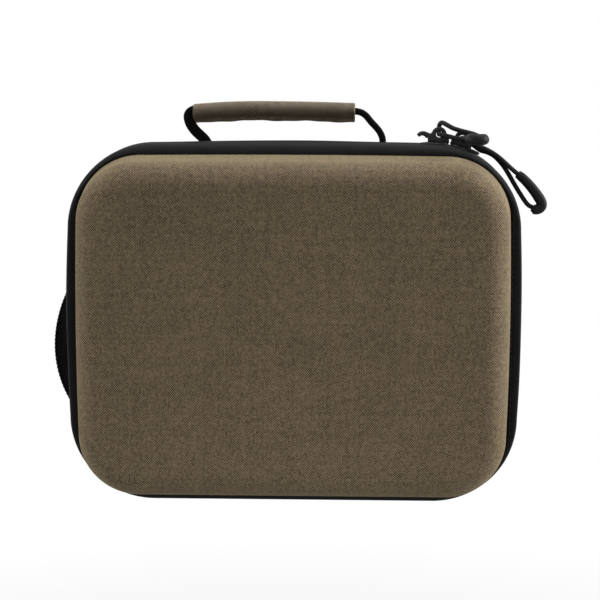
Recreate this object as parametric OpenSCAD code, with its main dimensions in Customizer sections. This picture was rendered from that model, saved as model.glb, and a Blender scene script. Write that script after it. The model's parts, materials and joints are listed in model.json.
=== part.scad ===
// Hard-shell battery safety case: two moulded shells joined by a cloth hinge and a two-slider zip,
// with a sleeved carrying handle on top and a webbing grab loop on the side.
// The case stands on its bottom edge. +X is to the right, -Y is the front, +Z is up.
// The origin lies on the hinge line, at the middle of the bottom edge.

/* [Case] */
// Width over the edge bindings
case_w = 250; // [236:1:300]
// Height over the edge bindings
case_h = 199.5; // [180:0.5:240]
// Corner radius over the edge bindings
corner_r = 47; // [46:1:50]
// Depth of each half, from the parting plane to its face
half_depth = 46; // [40:1:60]

/* [Shells] */
// How far the side of a shell stands back from the edge of its binding
shell_inset = 5.5; // [5.5:0.5:9]
// Corner radius of the side of a shell
shell_r = 38; // [34:1:42]
// How far the side leans in between the flange and the face
shell_draft = 3.5; // [1:0.5:6]
// Radius of the rounded edge of the face
edge_r = 13; // [8:1:18]
// Thickness of the canvas skin
canvas_t = 0.8; // [0.5:0.1:1.5]
// Thickness of the moulded foam
foam_t = 3.2; // [2:0.2:5]
// Thickness of the fire-resistant lining
lining_t = 0.6; // [0.4:0.1:1.2]
// Glue line between the layers
glue_t = 0.1; // [0.05:0.05:0.2]
// Thickness of the foam flange that the binding is sewn over
flange_t = 3.4; // [3:0.1:4.2]

/* [Edge bindings] */
// Gap between the two bindings, where the zip runs
trench_w = 9; // [8.6:0.2:12]
// Thickness of the binding over the edge of the flange
binding_t = 1; // [0.8:0.1:1]
// Thickness of the binding's padded leg on the shell's side, which widens the foot that the case stands on
binding_leg_t = 4.2; // [3.8:0.1:5]
// Rounding of the binding towards the shell
binding_round = 1.2; // [0.8:0.2:1.4]

/* [Zip] */
// Depth of the outer face of the tape below the crest of the binding
tape_depth = 1.2; // [1.2:0.1:2]
// Thickness of the tape
tape_t = 0.8; // [0.5:0.1:1]
// Gap between the two tapes
tape_gap = 1.2; // [1:0.1:1.6]
// Distance from one tooth of the coil to the next
tooth_pitch = 3; // [2.4:0.1:4]
// Width of one row of coil
coil_w = 2.4; // [1.6:0.1:2.6]
// Height of the coil under the tape
coil_h = 1.9; // [1.4:0.1:2.4]
// Running clearance between the slider and the tape
slider_clear = 0.3; // [0.2:0.05:0.5]
// Room under the coil, so that the slider passes the corners
coil_clear = 1; // [0.9:0.1:1.4]

/* [Sliders] */
// Length of a slider's body
slider_length = 9; // [9:0.5:11]
// How far the tail of a slider's upper plate runs on behind its body
slider_tail = 7; // [4:0.5:8]
// Width of a slider
slider_w = 8; // [7.4:0.1:8.2]
// Thickness of a slider's plates
plate_t = 1.5; // [0.8:0.1:1.6]
// Width of the crown that the pull is hitched to
crown_w = 2.8; // [2:0.2:3.2]
// Radius of the hole in the crown
crown_hole_r = 2.4; // [2.2:0.1:2.6]
// Metal round the hole in the crown
crown_t = 1.7; // [1.2:0.1:2]
// Width of the curved finger that the crown sends back over the tail
finger_w = 1.6; // [1:0.1:1.8]
// How far the left slider stands past the start of the corner
slider_past = 2; // [-20:1:2]
// Gap between the noses of the two sliders, along the tape
nose_gap = 2; // [1.9:0.1:6]

/* [Zip pulls] */
// Diameter of the pull cord
cord_d = 2.6; // [2:0.1:2.6]
// Diameter of the moulded grip
grip_d = 5.4; // [4.5:0.1:5.4]

/* [Handle] */
// Distance between the two ends of the strap
handle_span = 98; // [92:1:106]
// Diameter of the strap
strap_d = 4.2; // [3:0.2:5]
// Outer diameter of the canvas sleeve
sleeve_d = 11.6; // [10:0.2:13]
// Wall of the canvas sleeve
sleeve_t = 1; // [0.6:0.1:1.5]
// Length of the canvas sleeve
sleeve_length = 91; // [80:1:92]
// How far the sleeve has slipped to the left of the middle
sleeve_shift = 12; // [8:1:13]
// Height of the middle of the sleeve above the crest of the binding
sleeve_rise = 17; // [15:0.1:21]
// How far the foam filling stands back from the ends of the sleeve
core_inset = 1.5; // [1:0.5:4]

/* [Grab loop] */
// Width of the webbing
loop_w = 20; // [15:1:24]
// Thickness of the webbing
loop_t = 1.6; // [1:0.1:2.4]
// Length of the free part of the loop
loop_l = 84; // [80:1:92]
// Length of each end that is sewn down
loop_tab_l = 6; // [5:1:9]
// How far the loop stands off the shell
loop_bulge = 17.6; // [10:0.2:18]
// Height of the middle of the loop above the bottom edge
loop_z = 84; // [82:1:104]

/* [Hidden] */

olive = [0.33, 0.29, 0.23];
black = [0.06, 0.06, 0.065];
dark_grey = [0.13, 0.13, 0.14];
silver = [0.62, 0.63, 0.64];

// Smoothness of round surfaces, and the steps of an arc in a profile
round_fn = 96;
arc_steps = 6;
// Room between two soft pieces that lie against each other
soft_gap = 0.3;

// The plan of a shell, and the levels of the seam, measured from the parting plane
shell_w = case_w - 2 * shell_inset;
shell_h = case_h - 2 * shell_inset;
binding_z0 = trench_w / 2;
tape_z1 = binding_z0 + 2.4;
flange_z0 = tape_z1 + glue_t;
flange_z1 = flange_z0 + flange_t;
binding_z1 = flange_z1 + glue_t + binding_leg_t;
// Where the tape, the coil and the flange lie, as radii from the axis of a corner
tape_r1 = corner_r - tape_depth;
tape_r0 = tape_r1 - tape_t;
tape_root_r = corner_r - shell_inset + 0.5;
coil_r1 = tape_r0 - glue_t;
coil_r0 = coil_r1 - coil_h;
flange_inset = binding_t + glue_t;
coil_z0 = tape_gap / 2;
// The layers of a shell, measured inwards from the outer face of the canvas
foam_off = canvas_t + glue_t;
lining_off = foam_off + foam_t + glue_t;
// The lean of the side and the centre of the rounded edge
lean = atan(shell_draft / (half_depth - flange_z1));
edge_z = half_depth - edge_r;
edge_x = shell_r - (edge_z - flange_z1) * tan(lean) - edge_r / cos(lean);
// The axes of the corners, as places in X and Z
corner_x = case_w / 2 - corner_r;
corner_z = case_h - corner_r;
// The rim as a route round the case, from the middle of the bottom edge and up the right side: at each mark,
// the length so far, the axis that the rim turns about, and how far it has turned
rim_arc = PI * corner_r / 2;
rim_a = case_w - 2 * corner_r;
rim_b = case_h - 2 * corner_r;
rim_marks = [
    [0, 0, -1, 0], [rim_a / 2, 1, -1, 0], [rim_a / 2 + rim_arc, 1, -1, 90],
    [rim_a / 2 + rim_arc + rim_b, 1, 1, 90], [rim_a / 2 + 2 * rim_arc + rim_b, 1, 1, 180],
    [1.5 * rim_a + 2 * rim_arc + rim_b, -1, 1, 180], [1.5 * rim_a + 3 * rim_arc + rim_b, -1, 1, 270],
    [1.5 * rim_a + 3 * rim_arc + 2 * rim_b, -1, -1, 270], [1.5 * rim_a + 4 * rim_arc + 2 * rim_b, -1, -1, 360]
];
zip_start = rim_marks[1][0];
zip_end = rim_marks[8][0];
// The plates of a slider, as heights above the outer face of the tape
plate_n = slider_clear;
low_plate_n = -tape_t - glue_t - coil_h - coil_clear;
crown_foot_n = plate_n + plate_t;
crown_axis_n = 6.6;
crown_r = crown_hole_r + crown_t;
post_w = 0.7;
lip_t = 0.5;
// Where the two sliders stand, on the top run and round the corner
left_slider_x = corner_x + slider_past;
right_slider_angle = (slider_past + slider_length + nose_gap) / tape_r1 * 180 / PI;
// The handle's hinge line, just behind the rear binding and on top of the shell
handle_y = binding_z1 + soft_gap + strap_d / 2;
handle_z = case_h - shell_inset + soft_gap + strap_d / 2;
sleeve_x0 = -sleeve_length / 2 - sleeve_shift;
sleeve_x1 = sleeve_length / 2 - sleeve_shift;
sleeve_z = case_h + sleeve_rise;

// The strap's route in X and Z, seen from the front, in parts of its rise
strap_rise = sleeve_z - handle_z;
strap_route = [
    [-handle_span / 2, handle_z],
    [-handle_span / 2 - 0.1 * strap_rise, handle_z + 0.18 * strap_rise],
    [-handle_span / 2 - 0.4 * strap_rise, handle_z + 0.48 * strap_rise],
    [sleeve_x0 - 0.1 * strap_rise, sleeve_z - 0.31 * strap_rise],
    [sleeve_x0 - 0.12 * strap_rise, sleeve_z - 0.12 * strap_rise],
    [sleeve_x0 + 0.02 * strap_rise, sleeve_z],
    [sleeve_x1 + 0.05 * strap_rise, sleeve_z],
    [sleeve_x1 + 0.26 * strap_rise, sleeve_z - 0.08 * strap_rise],
    [handle_span / 2 - 0.32 * strap_rise, sleeve_z - 0.29 * strap_rise],
    [handle_span / 2 - 0.09 * strap_rise, sleeve_z - 0.55 * strap_rise],
    [handle_span / 2, handle_z + 0.25 * strap_rise],
    [handle_span / 2, handle_z]
];

// The pull cords and grips as they lie, as steps [right, back, up] from the hole of their crown.
// A cord runs from one end of its grip, through the crown and back to the other end.
left_cord_route = [
    [15.6, -15.5, -1.75], [15.68, -12.7, -1.87], [14, -10.3, -2], [11, -8.8, -1.9], [7.8, -7.2, -1.5],
    [4.6, -5.3, -0.8], [1.7, -3.4, -0.2], [0, -1.4, 0], [0, 1.4, 0], [0, 3, 0.6], [0, 3.5, 2.6],
    [0.2, 3.2, 4.7], [0.9, 1.6, 6.1], [2, -0.8, 6.3], [3.9, -3.3, 5.4], [6.9, -5.3, 3.8], [10.8, -6.2, 2.5],
    [14.6, -7.1, 1.6], [18.2, -8.9, 0.7], [20.8, -12, -0.3], [22.1, -16.2, -1.3], [22.2, -19.6, -1.6],
    [22.2, -23, -1.46], [22.2, -27.5, -1.2]
];
left_grip_route = [
    [15.6, -15.5, -1.75], [15.5, -19, -1.6], [15.5, -24, -1.35], [15.7, -31, -1], [16.65, -33.3, -0.9],
    [18.95, -34.25, -0.85], [21.25, -33.3, -0.9], [22.2, -31, -1], [22.2, -27.5, -1.2]
];
right_cord_route = [
    [30.9, 0, -19.5], [27.84, 0, -16.93], [25.2, -0.6, -14.6], [21.6, -1.2, -11.4], [17.4, -1.7, -8.3],
    [12.6, -2.3, -5.7], [7.5, -2.9, -3.5], [3.2, -3.3, -1.2], [0.8, -2.8, -0.1], [0, -1.1, 0], [0, 1.1, 0],
    [0.8, 2.8, -0.1], [3.2, 3.3, -1.4], [7.2, 2.9, -4.6], [10.6, 2.4, -6.9], [14, 1.9, -7.8],
    [18, 1.7, -9.9], [22.2, 1.5, -14.1], [25.6, 1.4, -19], [28.7, 1.2, -24.2], [32.4, 0.8, -30.2],
    [37, 0, -36.63], [39.6, 0, -38.15]
];
right_grip_route = [
    [30.9, 0, -19.5], [34.6, 0, -22.6], [38.4, 0, -26.6], [41.9, 0, -31.1], [44.4, 0, -35.25],
    [44.5, 0, -37.25], [43.2, 0, -38.75], [41.3, 0, -39.15], [39.6, 0, -38.15]
];

// Points on an arc about (x, y), from one angle to another
function arc(x, y, r, a0, a1) =
    [for (i = [0 : arc_steps]) let (a = a0 + (a1 - a0) * i / arc_steps) [x + r * cos(a), y + r * sin(a)]];

// The point of the rim at a length along it, at a distance from the axis of a corner
function rim_value(s, column) = lookup(s, [for (mark = rim_marks) [mark[0], mark[column]]]);

function rim_point(s, r) = let (turn = rim_value(s, 3))
    [rim_value(s, 1) * rim_a / 2 + r * sin(turn), rim_value(s, 2) * rim_b / 2 - r * cos(turn)];

function unit(v) = v / norm(v);

// The direction of a route at its point i
function heading(route, i) = unit(route[min(i + 1, len(route) - 1)] - route[max(i - 1, 0)]);

// A direction square to a route, carried along it with no twist
function carried(n, route, i) = let (t = heading(route, i)) unit(n - (n * t) * t);

function side_directions(route, first) = [
    for (i = 0, n = carried(first, route, 0); i < len(route);
         i = i + 1, n = carried(n, route, min(i, len(route) - 1))) n
];

// A round bar along a route, with flat ends
module bar_along(route, d, sides, first) {
    n = side_directions(route, first);
    last = (len(route) - 1) * sides;
    points = [
        for (i = [0 : len(route) - 1], k = [0 : sides - 1])
            let (b = cross(heading(route, i), n[i]), a = 360 * k / sides)
                route[i] + d / 2 * (cos(a) * n[i] + sin(a) * b)
    ];
    walls = [
        for (i = [0 : len(route) - 2], k = [0 : sides - 1])
            let (a = i * sides + k, b = i * sides + (k + 1) % sides)
                each [[a, a + sides, b + sides], [a, b + sides, b]]
    ];
    ends = [[for (k = [0 : sides - 1]) k], [for (k = [sides - 1 : -1 : 0]) last + k]];
    polyhedron(points, concat(walls, ends));
}

// The line of a shell's wall, a distance inwards from its outer face, from its foot to the middle of its face
function wall_line(off, foot) = concat(
    [[shell_r - off / cos(lean) - (foot - flange_z1) * tan(lean), foot]],
    arc(edge_x, edge_z, edge_r - off, lean, 90),
    [[0, half_depth - off]]
);

function reversed(list) = [for (i = [len(list) - 1 : -1 : 0]) list[i]];

// Carries a profile round a rectangle with rounded corners that lies flat. The profile's x is measured
// from the axis of a corner and its y is the height. Sides: 0 top, 1 left, 2 bottom, 3 right.
module around(w, h, r, sides = [0, 1, 2, 3], corners = [0, 1, 2, 3]) {
    a = w / 2 - r;
    b = h / 2 - r;
    places = [[a, b], [-a, b], [-a, -b], [a, -b]];
    for (k = corners)
        translate([places[k][0], places[k][1], 0])
            rotate([0, 0, 90 * k])
                rotate_extrude(angle = 90, $fn = round_fn) children();
    for (k = sides)
        let (long = k % 2 == 0 ? a : b, away = k % 2 == 0 ? b : a)
            rotate([0, 0, 90 * k])
                translate([-long, away, 0])
                    rotate([90, 0, 90]) linear_extrude(2 * long) children();
}

// A plate with rounded corners between two heights
module rounded_plate(w, h, r, z0, z1) {
    around(w, h, r) polygon([[0, z0], [r, z0], [r, z1], [0, z1]]);
    translate([r - w / 2, r - h / 2, z0]) cube([w - 2 * r, h - 2 * r, z1 - z0]);
}

// A half of the case lies flat while it is drawn, with its parting plane at 0, and is then stood up
module front_half() {
    translate([0, 0, case_h / 2]) rotate([90, 0, 0]) children();
}

module rear_half() {
    mirror([0, 1, 0]) front_half() children();
}

// One layer of a shell, between two distances from the outer face, standing on its foot
module shell_layer(off, t, foot) {
    around(shell_w, shell_h, shell_r)
        polygon(concat(wall_line(off, foot), reversed(wall_line(off + t, foot))));
    translate([shell_r - shell_w / 2, shell_r - shell_h / 2, half_depth - off - t])
        cube([shell_w - 2 * shell_r, shell_h - 2 * shell_r, t]);
}

// Moulded foam tray with the flange that the zip and the binding are sewn to
module shell_half() {
    inside = foam_off + foam_t / 2;
    shell_layer(foam_off, foam_t, flange_z0);
    difference() {
        rounded_plate(case_w - 2 * flange_inset, case_h - 2 * flange_inset, corner_r - flange_inset,
                      flange_z0, flange_z1);
        rounded_plate(shell_w - 2 * inside, shell_h - 2 * inside, shell_r - inside,
                      flange_z0 - 1, flange_z1 + 1);
    }
}

module canvas_half() {
    shell_layer(0, canvas_t, flange_z1 + glue_t);
}

module lining_half() {
    shell_layer(lining_off, lining_t, flange_z0);
}

// Edge binding: a folded strip that covers the edge of the flange and laps down to the shell
module binding_half() {
    zip_round = binding_t - 0.2;
    crest = concat(
        [[corner_r - shell_inset, binding_z1]],
        arc(corner_r - binding_round, binding_z1 - binding_round, binding_round, 90, 0),
        arc(corner_r - zip_round, binding_z0 + zip_round, zip_round, 0, -90),
        [[corner_r - binding_t, binding_z0], [corner_r - binding_t, flange_z1 + glue_t],
         [corner_r - shell_inset, flange_z1 + glue_t]]
    );
    difference() {
        around(case_w, case_h, corner_r) polygon(crest);
        rounded_plate(shell_w + 2 * glue_t, shell_h + 2 * glue_t, shell_r + glue_t,
                      flange_z1, binding_z1 + 1);
    }
}

// Zip tape: sewn to the flange, and turned out towards the other half
module zip_tape_half() {
    around(case_w, case_h, corner_r, [0, 1, 3])
        polygon([[tape_root_r, tape_z1 - tape_t], [tape_r0, tape_z1 - tape_t], [tape_r0, coil_z0],
                 [tape_r1, coil_z0], [tape_r1, tape_z1], [tape_root_r, tape_z1]]);
}

// One row of the zip's teeth, on a spine that is sewn to the inner face of the tape
module zip_coil_half() {
    spine_r = coil_r1 - 0.4 * coil_h;
    half_tooth = 0.22 * tooth_pitch;
    count = floor((zip_end - zip_start) / tooth_pitch);
    middles = [for (i = [0 : count - 1]) zip_start + (i + 0.5) * (zip_end - zip_start) / count];
    spine = [for (s = concat(zip_start, middles, zip_end)) rim_point(s, coil_r1)];
    teeth = [
        for (s = reversed(middles))
            each [rim_point(s + half_tooth, spine_r), rim_point(s + half_tooth, coil_r0),
                  rim_point(s - half_tooth, coil_r0), rim_point(s - half_tooth, spine_r)]
    ];
    ends = [[rim_point(zip_end, spine_r)], [rim_point(zip_start, spine_r)]];
    translate([0, 0, coil_z0])
        linear_extrude(coil_w) polygon(concat(spine, ends[0], teeth, ends[1]));
}

// Cloth hinge along the straight part of the bottom edge
module hinge_tape_half() {
    fold_gap = 0.15;
    intersection() {
        around(case_w, case_h, corner_r, [2], [])
            polygon([[tape_root_r, tape_z1 - tape_t], [tape_r0, tape_z1 - tape_t], [tape_r0, fold_gap],
                     [tape_r1, fold_gap], [tape_r1, tape_z1], [tape_root_r, tape_z1]]);
        translate([soft_gap - corner_x, -case_h, -1]) cube([2 * (corner_x - soft_gap), case_h, half_depth]);
    }
}

module rear_shell() { color(dark_grey) rear_half() shell_half(); }

module rear_canvas() { color(olive) rear_half() canvas_half(); }

module rear_lining() { color(silver) rear_half() lining_half(); }

module rear_binding() { color(black) rear_half() binding_half(); }

module rear_zip_tape() { color(black) rear_half() zip_tape_half(); }

module rear_zip_coil() { color(dark_grey) rear_half() zip_coil_half(); }

module rear_hinge_tape() { color(black) rear_half() hinge_tape_half(); }

module front_shell() { color(dark_grey) front_half() shell_half(); }

module front_canvas() { color(olive) front_half() canvas_half(); }

module front_lining() { color(silver) front_half() lining_half(); }

module front_binding() { color(black) front_half() binding_half(); }

module front_zip_tape() { color(black) front_half() zip_tape_half(); }

module front_zip_coil() { color(dark_grey) front_half() zip_coil_half(); }

module front_hinge_tape() { color(black) front_half() hinge_tape_half(); }

// Webbing loop on the left side of the rear shell. It sags, so its fullest part is below its middle.
module grab_loop() {
    steps = 24;
    sag = 1.25;
    half = loop_l / 2;
    hang = [
        for (i = [0 : steps])
            [loop_bulge * pow(sin(180 * pow(i / steps, sag)), 0.8), half - loop_l * i / steps]
    ];
    line = concat([[0, half + loop_tab_l]], hang, [[0, -half - loop_tab_l]]);
    band = concat(line, reversed([for (i = [0 : len(line) - 1])
        let (t = heading(line, i)) line[i] + loop_t * [-t[1], t[0]]]));
    y0 = binding_z1 + soft_gap;
    side_x = (y0 - flange_z1) * tan(lean) - shell_w / 2;
    color(black)
        translate([side_x - soft_gap, y0, loop_z])
            rotate([0, 0, -lean])
                mirror([1, 0, 0]) mirror([0, 1, 0]) rotate([90, 0, 0]) linear_extrude(loop_w) polygon(band);
}

// Strap that runs through the handle from end to end
module handle_strap() {
    route = [for (p = strap_route) [p[0], handle_y, p[1]]];
    color(black) bar_along(route, strap_d, 12, [0, 1, 0]);
}

// Foam tube that fills the sleeve round the strap
module handle_core() {
    core_l = sleeve_length - 2 * core_inset;
    color(dark_grey)
        translate([sleeve_x0 + core_inset, handle_y, sleeve_z]) rotate([0, 90, 0])
            difference() {
                cylinder(d = sleeve_d - 2 * sleeve_t - 2 * glue_t, h = core_l, $fn = round_fn);
                translate([0, 0, -1]) cylinder(d = strap_d + 2 * glue_t, h = core_l + 2, $fn = round_fn);
            }
}

// Canvas sleeve round the handle
module handle_sleeve() {
    color(olive)
        translate([sleeve_x0, handle_y, sleeve_z]) rotate([0, 90, 0])
            difference() {
                cylinder(d = sleeve_d, h = sleeve_length, $fn = round_fn);
                translate([0, 0, -1])
                    cylinder(d = sleeve_d - 2 * sleeve_t, h = sleeve_length + 2, $fn = round_fn);
            }
}

// A slider on the outer face of the tape, with its nose towards +X
module slider() {
    half_l = slider_length / 2;
    half_w = slider_w / 2;
    outline = [
        [-half_l, -0.62 * half_w], [-0.2 * half_l, -0.9 * half_w], [0.5 * half_l, -half_w],
        [0.88 * half_l, -0.8 * half_w], [half_l, -0.4 * half_w], [half_l, 0.4 * half_w],
        [0.88 * half_l, 0.8 * half_w], [0.5 * half_l, half_w], [-0.2 * half_l, 0.9 * half_w],
        [-half_l, 0.62 * half_w]
    ];
    tail = [[-half_l - slider_tail, 0.42 * half_w], [-half_l - slider_tail, -0.42 * half_w]];
    crown_foot = half_l - 0.2;
    crown_back = -crown_r - 2.2;
    finger_tip = -half_l - slider_tail - 0.5;
    sink = 0.1;
    translate([0, 0, plate_n]) linear_extrude(plate_t) polygon(concat(outline, tail));
    translate([0, 0, low_plate_n - plate_t]) linear_extrude(plate_t) polygon(outline);
    // The post that parts the two rows of coil at the nose
    translate([0, 0, low_plate_n - sink])
        linear_extrude(plate_n - low_plate_n + 2 * sink)
            polygon([[0.3 * half_l, 0], [0.6 * half_l, -post_w / 2], [0.9 * half_l, -post_w / 2],
                     [0.9 * half_l, post_w / 2], [0.6 * half_l, post_w / 2]]);
    // The lip that keeps the rear coil in the slider
    translate([-0.2 * half_l, 0.9 * half_w - lip_t, low_plate_n - sink])
        cube([0.9 * half_l, lip_t, -low_plate_n - tape_t - slider_clear + sink]);
    // The crown, with a round hole for the cord, and a back that slopes down to the tail
    rotate([90, 0, 0]) translate([0, 0, -crown_w / 2]) difference() {
        union() {
            translate([0, crown_axis_n, 0]) cylinder(r = crown_r, h = crown_w, $fn = round_fn);
            linear_extrude(crown_w)
                polygon([[crown_back, crown_foot_n - sink], [crown_foot, crown_foot_n - sink],
                         [crown_r - 0.2, crown_axis_n], [-0.6 * crown_r, crown_axis_n + 0.75 * crown_r],
                         [crown_back, crown_axis_n - 1.4]]);
        }
        translate([0, crown_axis_n, -1]) cylinder(r = crown_hole_r, h = crown_w + 2, $fn = round_fn);
    }
    // The finger, a thin hook that bends back from the crown over the tail
    rotate([90, 0, 0]) translate([0, crown_axis_n, -finger_w / 2]) linear_extrude(finger_w)
        polygon([[crown_back + 1, -0.4], [crown_back - 0.6, 0.7], [crown_back - 2.4, 1.4],
                 [crown_back - 4.3, 1], [finger_tip, -0.5], [finger_tip + 0.5, -1],
                 [crown_back - 4, -0.4], [crown_back - 2.7, -0.5], [crown_back - 1.4, -2.1],
                 [crown_back - 0.5, -2], [crown_back + 1, -1.8]]);
}

// Stands the left slider's own frame on the top run of the tape
module at_left_slider() {
    translate([left_slider_x, 0, case_h - tape_depth]) children();
}

// Stands the right slider's own frame on the tape, part of the way round the corner
module at_right_slider() {
    translate([corner_x, 0, corner_z]) rotate([0, right_slider_angle, 0])
        translate([0, 0, tape_r1]) children();
}

// Puts a pull's own frame, which stays upright, at the hole of a crown
module at_left_crown() {
    at_left_slider() translate([0, 0, crown_axis_n]) children();
}

module at_right_crown() {
    at_right_slider() translate([0, 0, crown_axis_n]) rotate([0, -right_slider_angle, 0]) children();
}

module left_slider() { color(dark_grey) at_left_slider() slider(); }

module right_slider() { color(dark_grey) at_right_slider() rotate([0, 0, 180]) mirror([0, 1, 0]) slider(); }

module left_pull_cord() {
    color(black) at_left_crown() bar_along(left_cord_route, cord_d, 8, [0, 0, 1]);
}

module left_pull_grip() {
    color(dark_grey) at_left_crown() bar_along(left_grip_route, grip_d, 10, [1, 0, 0]);
}

module right_pull_cord() {
    color(black) at_right_crown() bar_along(right_cord_route, cord_d, 8, [0, 1, 0]);
}

module right_pull_grip() {
    color(dark_grey) at_right_crown() bar_along(right_grip_route, grip_d, 10, [0, 1, 0]);
}

rear_shell();
rear_canvas();
rear_lining();
rear_binding();
rear_zip_tape();
rear_zip_coil();
rear_hinge_tape();
grab_loop();
front_shell();
front_canvas();
front_lining();
front_binding();
front_zip_tape();
front_zip_coil();
front_hinge_tape();
handle_strap();
handle_core();
handle_sleeve();
left_slider();
left_pull_cord();
left_pull_grip();
right_slider();
right_pull_cord();
right_pull_grip();
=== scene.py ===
"""Looks of the hard-shell battery safety case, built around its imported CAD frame.

Lengths are in metres in the CAD frame: +X right, -Y front, +Z up. The origin is the middle of the bottom
edge, on the parting plane. A half of the case is named by the sign of its Y: FRONT is the lid, and REAR is
the half that stands still.
"""

import json
import math
from itertools import accumulate

import bmesh
import bpy
import numpy as np
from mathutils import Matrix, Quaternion, Vector


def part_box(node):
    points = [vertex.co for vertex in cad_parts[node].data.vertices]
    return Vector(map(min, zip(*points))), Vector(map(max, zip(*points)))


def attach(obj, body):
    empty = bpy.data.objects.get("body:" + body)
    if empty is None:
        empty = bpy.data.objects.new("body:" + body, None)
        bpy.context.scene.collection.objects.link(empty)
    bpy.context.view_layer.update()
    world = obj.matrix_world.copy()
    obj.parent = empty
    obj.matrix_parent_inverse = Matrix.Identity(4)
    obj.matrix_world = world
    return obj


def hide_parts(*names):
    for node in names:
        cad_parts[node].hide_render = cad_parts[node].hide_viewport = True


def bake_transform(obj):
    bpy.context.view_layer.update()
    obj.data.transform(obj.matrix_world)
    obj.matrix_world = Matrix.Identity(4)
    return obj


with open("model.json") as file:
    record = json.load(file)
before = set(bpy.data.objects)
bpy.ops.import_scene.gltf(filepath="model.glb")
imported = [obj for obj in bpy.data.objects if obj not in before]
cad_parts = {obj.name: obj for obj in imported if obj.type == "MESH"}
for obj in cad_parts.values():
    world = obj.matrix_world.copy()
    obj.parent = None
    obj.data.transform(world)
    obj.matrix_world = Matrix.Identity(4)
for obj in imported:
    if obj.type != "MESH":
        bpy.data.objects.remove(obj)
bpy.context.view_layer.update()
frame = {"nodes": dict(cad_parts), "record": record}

MM = 0.001
FRONT, REAR = -1, 1
HALVES = {FRONT: "front", REAR: "rear"}
BODIES = {FRONT: "lid", REAR: "rear_half"}
BACK, UP = np.array([0, 1, 0]), np.array([0, 0, 1])


# Sizes that the frame gives

def node_box(node):
    """Lowest and highest corner of a CAD node, as arrays."""
    low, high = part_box(node)
    return np.array(low), np.array(high)


def joint_place(name):
    """The point that a joint turns about."""
    joints = frame["record"]["behaviour"]["joints"]
    return np.array(next(joint["pos_m"] for joint in joints if joint["name"] == name))


BINDING_LOW, BINDING_HIGH = node_box("rear_binding")
SKIN_LOW, SKIN_HIGH = node_box("rear_canvas")
LINING_LOW, _ = node_box("rear_lining")
TAPE_LOW, TAPE_HIGH = node_box("rear_zip_tape")
SLEEVE_LOW, SLEEVE_HIGH = node_box("handle_sleeve")
LEFT_CROWN = joint_place("left_pull_swing")
RIGHT_CROWN = joint_place("right_pull_swing")
CORNER_AXIS = joint_place("right_slider_travel")
HANDLE_AXIS = joint_place("handle_swing")

CASE_W, CASE_H = BINDING_HIGH[0] - BINDING_LOW[0], BINDING_HIGH[2] - BINDING_LOW[2]
SHELL_W, SHELL_H = SKIN_HIGH[0] - SKIN_LOW[0], SKIN_HIGH[2] - SKIN_LOW[2]
MIDDLE = np.array([0, 0, CASE_H / 2])
HALF_DEPTH = SKIN_HIGH[1]
BINDING_Y0, BINDING_Y1 = BINDING_LOW[1], BINDING_HIGH[1]
SKIN_FOOT, LINING_FOOT = SKIN_LOW[1], LINING_LOW[1]
SLEEVE_X0, SLEEVE_X1 = SLEEVE_LOW[0], SLEEVE_HIGH[0]
SLEEVE_Z = (SLEEVE_LOW[2] + SLEEVE_HIGH[2]) / 2

# Sizes that are the same in the part's source

CORNER_R = 47 * MM
SHELL_R = 38 * MM
SHELL_DRAFT = 3.5 * MM
EDGE_R = 13 * MM
CANVAS_T = 0.8 * MM
LINING_INSET = 4.2 * MM
LINING_T = 0.6 * MM
BINDING_T = 1.0 * MM
TAPE_DEPTH = 1.2 * MM
TAPE_T = 0.8 * MM
TAPE_ROOT = 5.0 * MM
COIL_DEPTH = 2.1 * MM
COIL_W, COIL_H = 2.4 * MM, 1.9 * MM
CORD_D, GRIP_D = 2.6 * MM, 5.4 * MM
CROWN_RISE, CROWN_W = 6.6 * MM, 2.8 * MM
SLIDER_LENGTH, SLIDER_TAIL, SLIDER_W = 9 * MM, 7 * MM, 8 * MM
HANDLE_HALF_SPAN = 49 * MM
LOOP_W, LOOP_T, LOOP_LENGTH, LOOP_TAB = 20 * MM, 1.6 * MM, 84 * MM, 6 * MM
LOOP_BULGE, LOOP_Z = 17.6 * MM, 84 * MM
SOFT_GAP = 0.3 * MM

# Sizes that follow the photograph more closely than the part's source does

SKIN_R = 35.5 * MM
CROWN_HOLE_R, CROWN_T = 1.75 * MM, 2.35 * MM
LOOP_SAG, LOOP_FULLNESS = 1.1, 0.6

# The lean of the shell's side, and where its rounded front edge begins

LEAN = math.atan(SHELL_DRAFT / (HALF_DEPTH - SKIN_FOOT))
EDGE_DEPTH = HALF_DEPTH - EDGE_R
EDGE_STEP = (EDGE_DEPTH - SKIN_FOOT) * math.tan(LEAN) + EDGE_R / math.cos(LEAN)

# Routes of the pulls, repeated from the part's source, as millimetres right, back and up from a crown's hole

LEFT_CORD_ROUTE = [
    [15.6, -15.5, -1.75], [15.68, -12.7, -1.87], [14, -10.3, -2], [11, -8.8, -1.9], [7.8, -7.2, -1.5],
    [4.6, -5.3, -0.8], [1.7, -3.4, -0.2], [0, -1.4, 0], [0, 1.4, 0], [0, 3, 0.6], [0, 3.5, 2.6],
    [0.2, 3.2, 4.7], [0.9, 1.6, 6.1], [2, -0.8, 6.3], [3.9, -3.3, 5.4], [6.9, -5.3, 3.8], [10.8, -6.2, 2.5],
    [14.6, -7.1, 1.6], [18.2, -8.9, 0.7], [20.8, -12, -0.3], [22.1, -16.2, -1.3], [22.2, -19.6, -1.6],
    [22.2, -23, -1.46], [22.2, -27.5, -1.2],
]
LEFT_GRIP_ROUTE = [
    [15.6, -15.5, -1.75], [15.5, -19, -1.6], [15.5, -24, -1.35], [15.7, -31, -1], [16.65, -33.3, -0.9],
    [18.95, -34.25, -0.85], [21.25, -33.3, -0.9], [22.2, -31, -1], [22.2, -27.5, -1.2],
]
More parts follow.
